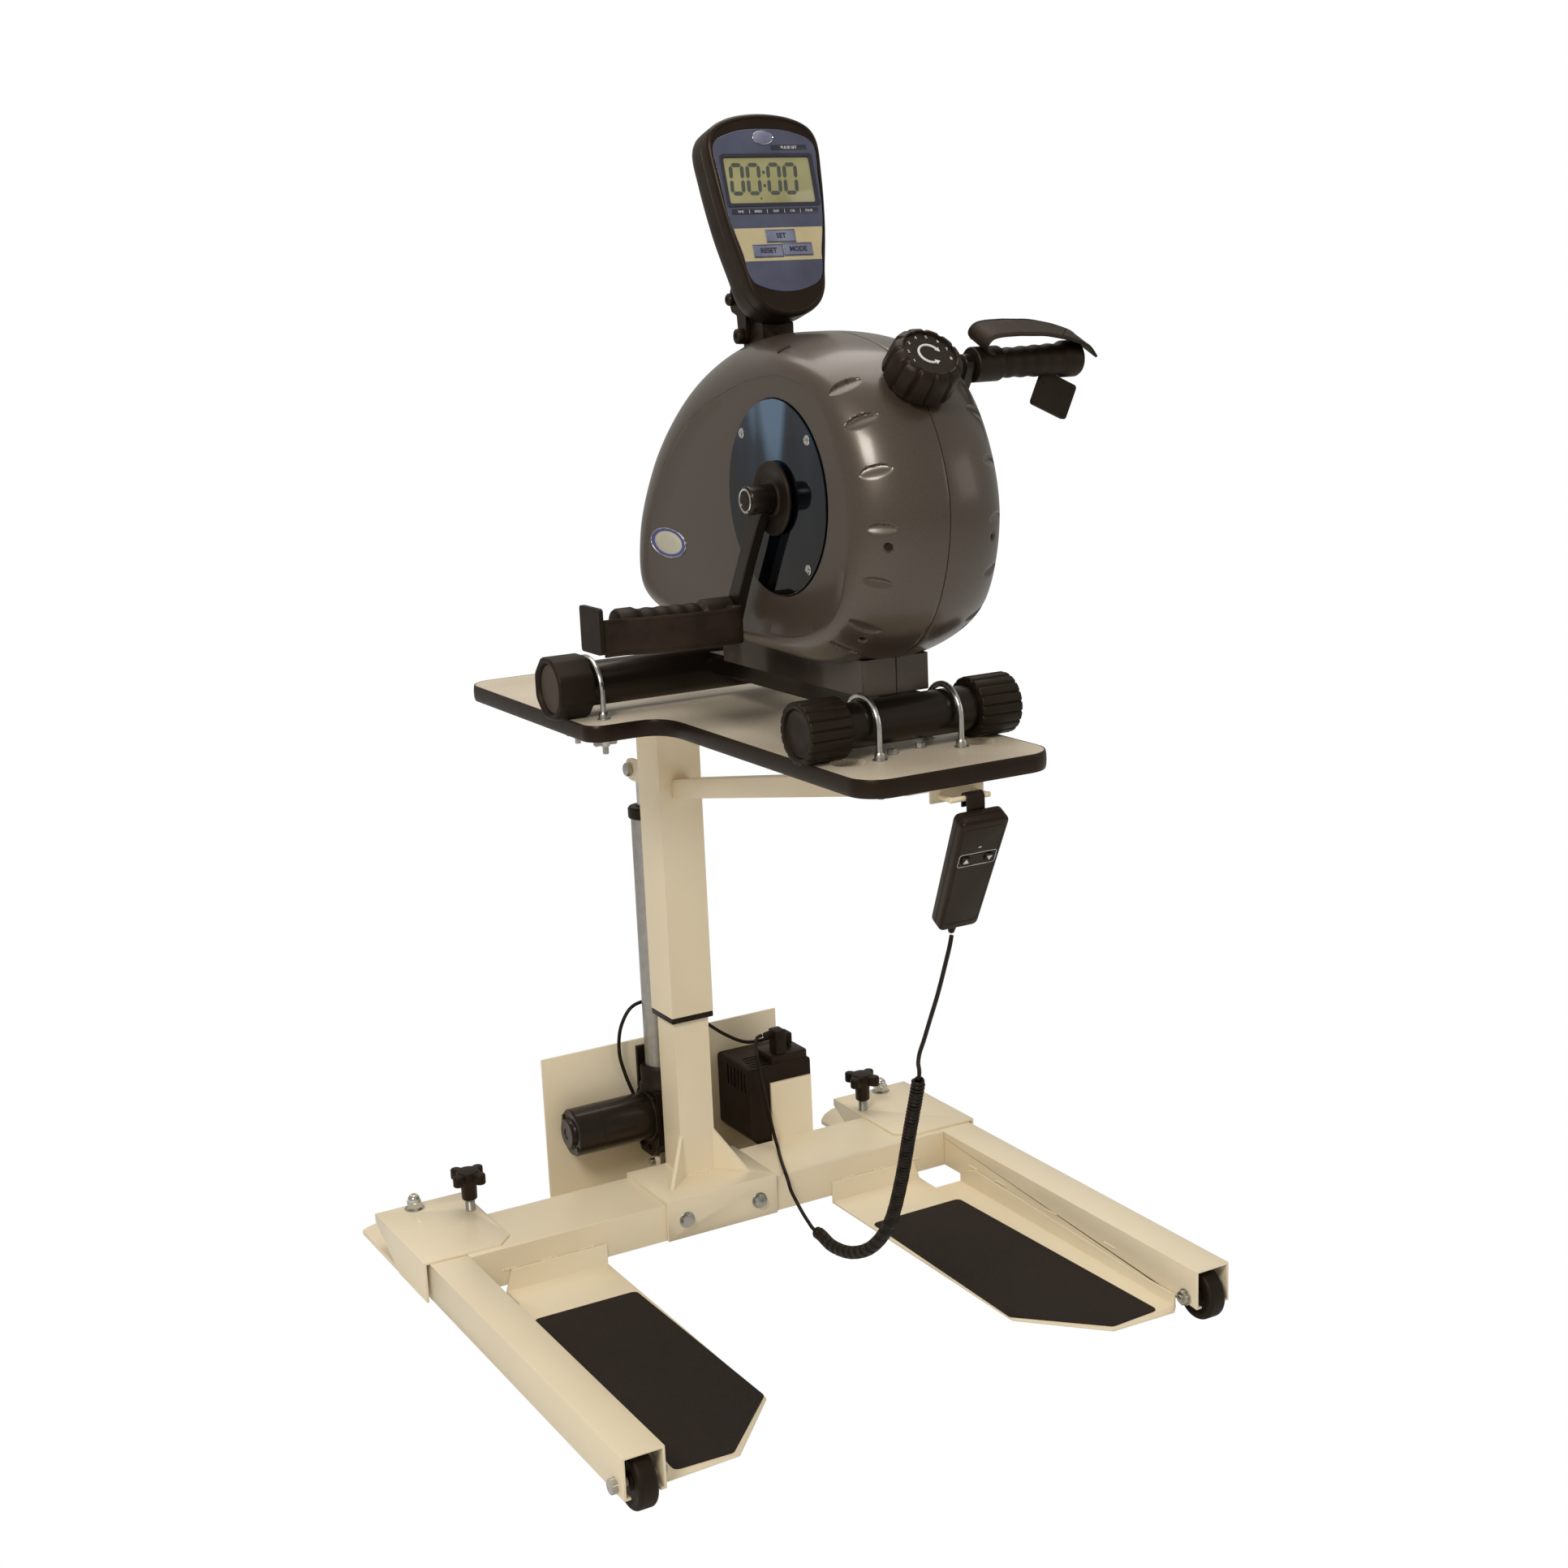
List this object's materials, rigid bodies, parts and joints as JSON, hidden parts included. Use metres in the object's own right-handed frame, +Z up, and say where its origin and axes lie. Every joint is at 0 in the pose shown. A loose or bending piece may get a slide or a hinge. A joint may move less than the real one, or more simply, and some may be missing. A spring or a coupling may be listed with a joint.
{
  "type": "arm ergometer on height-adjustable stand",
  "caption": "Arm cranking exerciser with console and load knob, clamped on a shaped table that an electric actuator raises on a column over a wheeled base with footplates.",
  "frame": {"origin": "middle of the footprint on the floor", "axes": "+Z up, +Y from the user towards the column at the back, +X to the user's right when facing the machine"},
  "size_m": [0.834, 0.9115, 1.4406],
  "materials": {
    "cream_paint": "semi-gloss powder coat",
    "housing_grey": "satin moulded plastic",
    "black_plastic": "fine-grained moulded plastic",
    "black_rubber": "matte rubber",
    "black_paint": "semi-gloss paint",
    "zinc": "bright zinc plate",
    "steel": "turned steel",
    "board_laminate": "speckled satin laminate over chipboard",
    "window_smoke": "smoked clear plastic",
    "blue_face": "satin printed face",
    "key_blue": "satin keys",
    "webbing": "woven webbing"
  },
  "bodies": {
    "base": {"cross_beam": "cream_paint", "leg_right": "cream_paint", "leg_left": "cream_paint", "footplate_right": "cream_paint", "footplate_left": "cream_paint", "saddle_column": "cream_paint", "back_tray": "cream_paint", "power_box": "black_plastic", "gear_motor": "black_paint", "actuator_tube": "zinc", "cord_plug": "black_rubber", "box_lead": "black_rubber"},
    "wheel_right": {"wheel_right": "black_rubber"},
    "wheel_left": {"wheel_left": "black_rubber"},
    "rear_foot_right": {"rear_foot_right": "cream_paint"},
    "rear_foot_left": {"rear_foot_left": "cream_paint"},
    "star_knob_right": {"star_knob_right": "black_plastic"},
    "star_knob_left": {"star_knob_left": "black_plastic"},
    "lift": {"upper_column": "cream_paint", "column_glide": "black_plastic", "actuator_rod": "zinc", "board": "board_laminate", "board_edge": "black_plastic", "strut": "cream_paint", "clamp_front_left": "zinc", "clamp_front_right": "zinc", "clamp_rear_left": "zinc", "clamp_rear_right": "zinc", "front_stabilizer": "black_paint", "rear_stabilizer": "black_paint", "front_cap_right": "black_rubber", "front_cap_left": "black_rubber", "rear_cap_right": "black_rubber", "rear_cap_left": "black_rubber", "main_bar": "black_paint", "housing_right": "housing_grey", "housing_left": "housing_grey", "window_right": "window_smoke", "window_left": "window_smoke", "belt": "black_rubber", "mast": "black_plastic", "handset": "black_plastic", "handset_lead": "black_rubber", "curly_cord": "black_rubber"},
    "crank": {"crank_axle": "steel", "crank_arm_left": "black_paint", "crank_arm_right": "black_paint"},
    "flywheel": {"flywheel": "steel"},
    "grip_left": {"grip_left": "black_rubber", "strap_left": "webbing"},
    "grip_right": {"grip_right": "black_rubber", "strap_right": "webbing"},
    "load_knob": {"load_knob": "black_plastic"},
    "console": {"console_case": "black_plastic", "console_face": "blue_face"},
    "key_set": {"key_set": "key_blue"},
    "key_reset": {"key_reset": "key_blue"},
    "key_mode": {"key_mode": "key_blue"},
    "button_up": {"button_up": "zinc"},
    "button_down": {"button_down": "zinc"}
  },
  "joints": [
    {"name": "lift_slide", "type": "slide", "parent": "base", "child": "lift", "axis": [0, 0, 1], "range_m": [-0.03, 0.2], "deforming": ["curly_cord"]},
    {"name": "wheel_right_roll", "type": "hinge", "parent": "base", "child": "wheel_right", "pos_m": [0.384, -0.3494, 0.0325], "axis": [1, 0, 0], "continuous": true},
    {"name": "wheel_left_roll", "type": "hinge", "parent": "base", "child": "wheel_left", "pos_m": [-0.384, -0.3494, 0.0325], "axis": [1, 0, 0], "continuous": true},
    {"name": "rear_foot_right_swing", "type": "hinge", "parent": "base", "child": "rear_foot_right", "pos_m": [0.3665, 0.3576, 0.02], "axis": [0, 0, -1], "range_deg": [0, 60]},
    {"name": "rear_foot_left_swing", "type": "hinge", "parent": "base", "child": "rear_foot_left", "pos_m": [-0.3665, 0.3576, 0.02], "axis": [0, 0, 1], "range_deg": [0, 60]},
    {"name": "star_knob_right_turn", "type": "hinge", "parent": "base", "child": "star_knob_right", "pos_m": [0.306, 0.3091, 0.1], "axis": [0, 0, 1], "range_deg": [0, 360]},
    {"name": "star_knob_left_turn", "type": "hinge", "parent": "base", "child": "star_knob_left", "pos_m": [-0.306, 0.3091, 0.1], "axis": [0, 0, 1], "range_deg": [0, 360]},
    {"name": "crank_turn", "type": "hinge", "parent": "lift", "child": "crank", "pos_m": [0, -0.2154, 1.032], "axis": [1, 0, 0], "continuous": true},
    {"name": "flywheel_turn", "type": "hinge", "parent": "lift", "child": "flywheel", "pos_m": [0, -0.0354, 0.98], "axis": [1, 0, 0], "continuous": true},
    {"name": "grip_left_turn", "type": "hinge", "parent": "crank", "child": "grip_left", "pos_m": [-0.2, -0.1404, 0.9021], "axis": [1, 0, 0], "continuous": true},
    {"name": "grip_right_turn", "type": "hinge", "parent": "crank", "child": "grip_right", "pos_m": [0.2, -0.2904, 1.1619], "axis": [1, 0, 0], "continuous": true},
    {"name": "load_knob_turn", "type": "hinge", "parent": "lift", "child": "load_knob", "pos_m": [0, -0.3594, 1.155], "axis": [0, -0.7071, 0.7071], "range_deg": [-135, 135]},
    {"name": "console_tilt", "type": "hinge", "parent": "lift", "child": "console", "pos_m": [0, -0.0394, 1.199], "axis": [1, 0, 0], "range_deg": [-10, 4]},
    {"name": "key_set_press", "type": "slide", "parent": "console", "child": "key_set", "axis": [0, 0.9636, -0.2672], "range_m": [0, 0.001], "stiffness_N_per_m": 400},
    {"name": "key_reset_press", "type": "slide", "parent": "console", "child": "key_reset", "axis": [0, 0.9636, -0.2672], "range_m": [0, 0.001], "stiffness_N_per_m": 400},
    {"name": "key_mode_press", "type": "slide", "parent": "console", "child": "key_mode", "axis": [0, 0.9636, -0.2672], "range_m": [0, 0.001], "stiffness_N_per_m": 400},
    {"name": "button_up_press", "type": "slide", "parent": "lift", "child": "button_up", "axis": [0.0463, 0.8834, 0.4664], "range_m": [0, 0.001], "stiffness_N_per_m": 400},
    {"name": "button_down_press", "type": "slide", "parent": "lift", "child": "button_down", "axis": [0.0463, 0.8834, 0.4664], "range_m": [0, 0.001], "stiffness_N_per_m": 400}
  ],
  "couplings": [
    {"joint": "flywheel_turn", "follows": "crank_turn", "ratio": 3.8636}
  ]
}
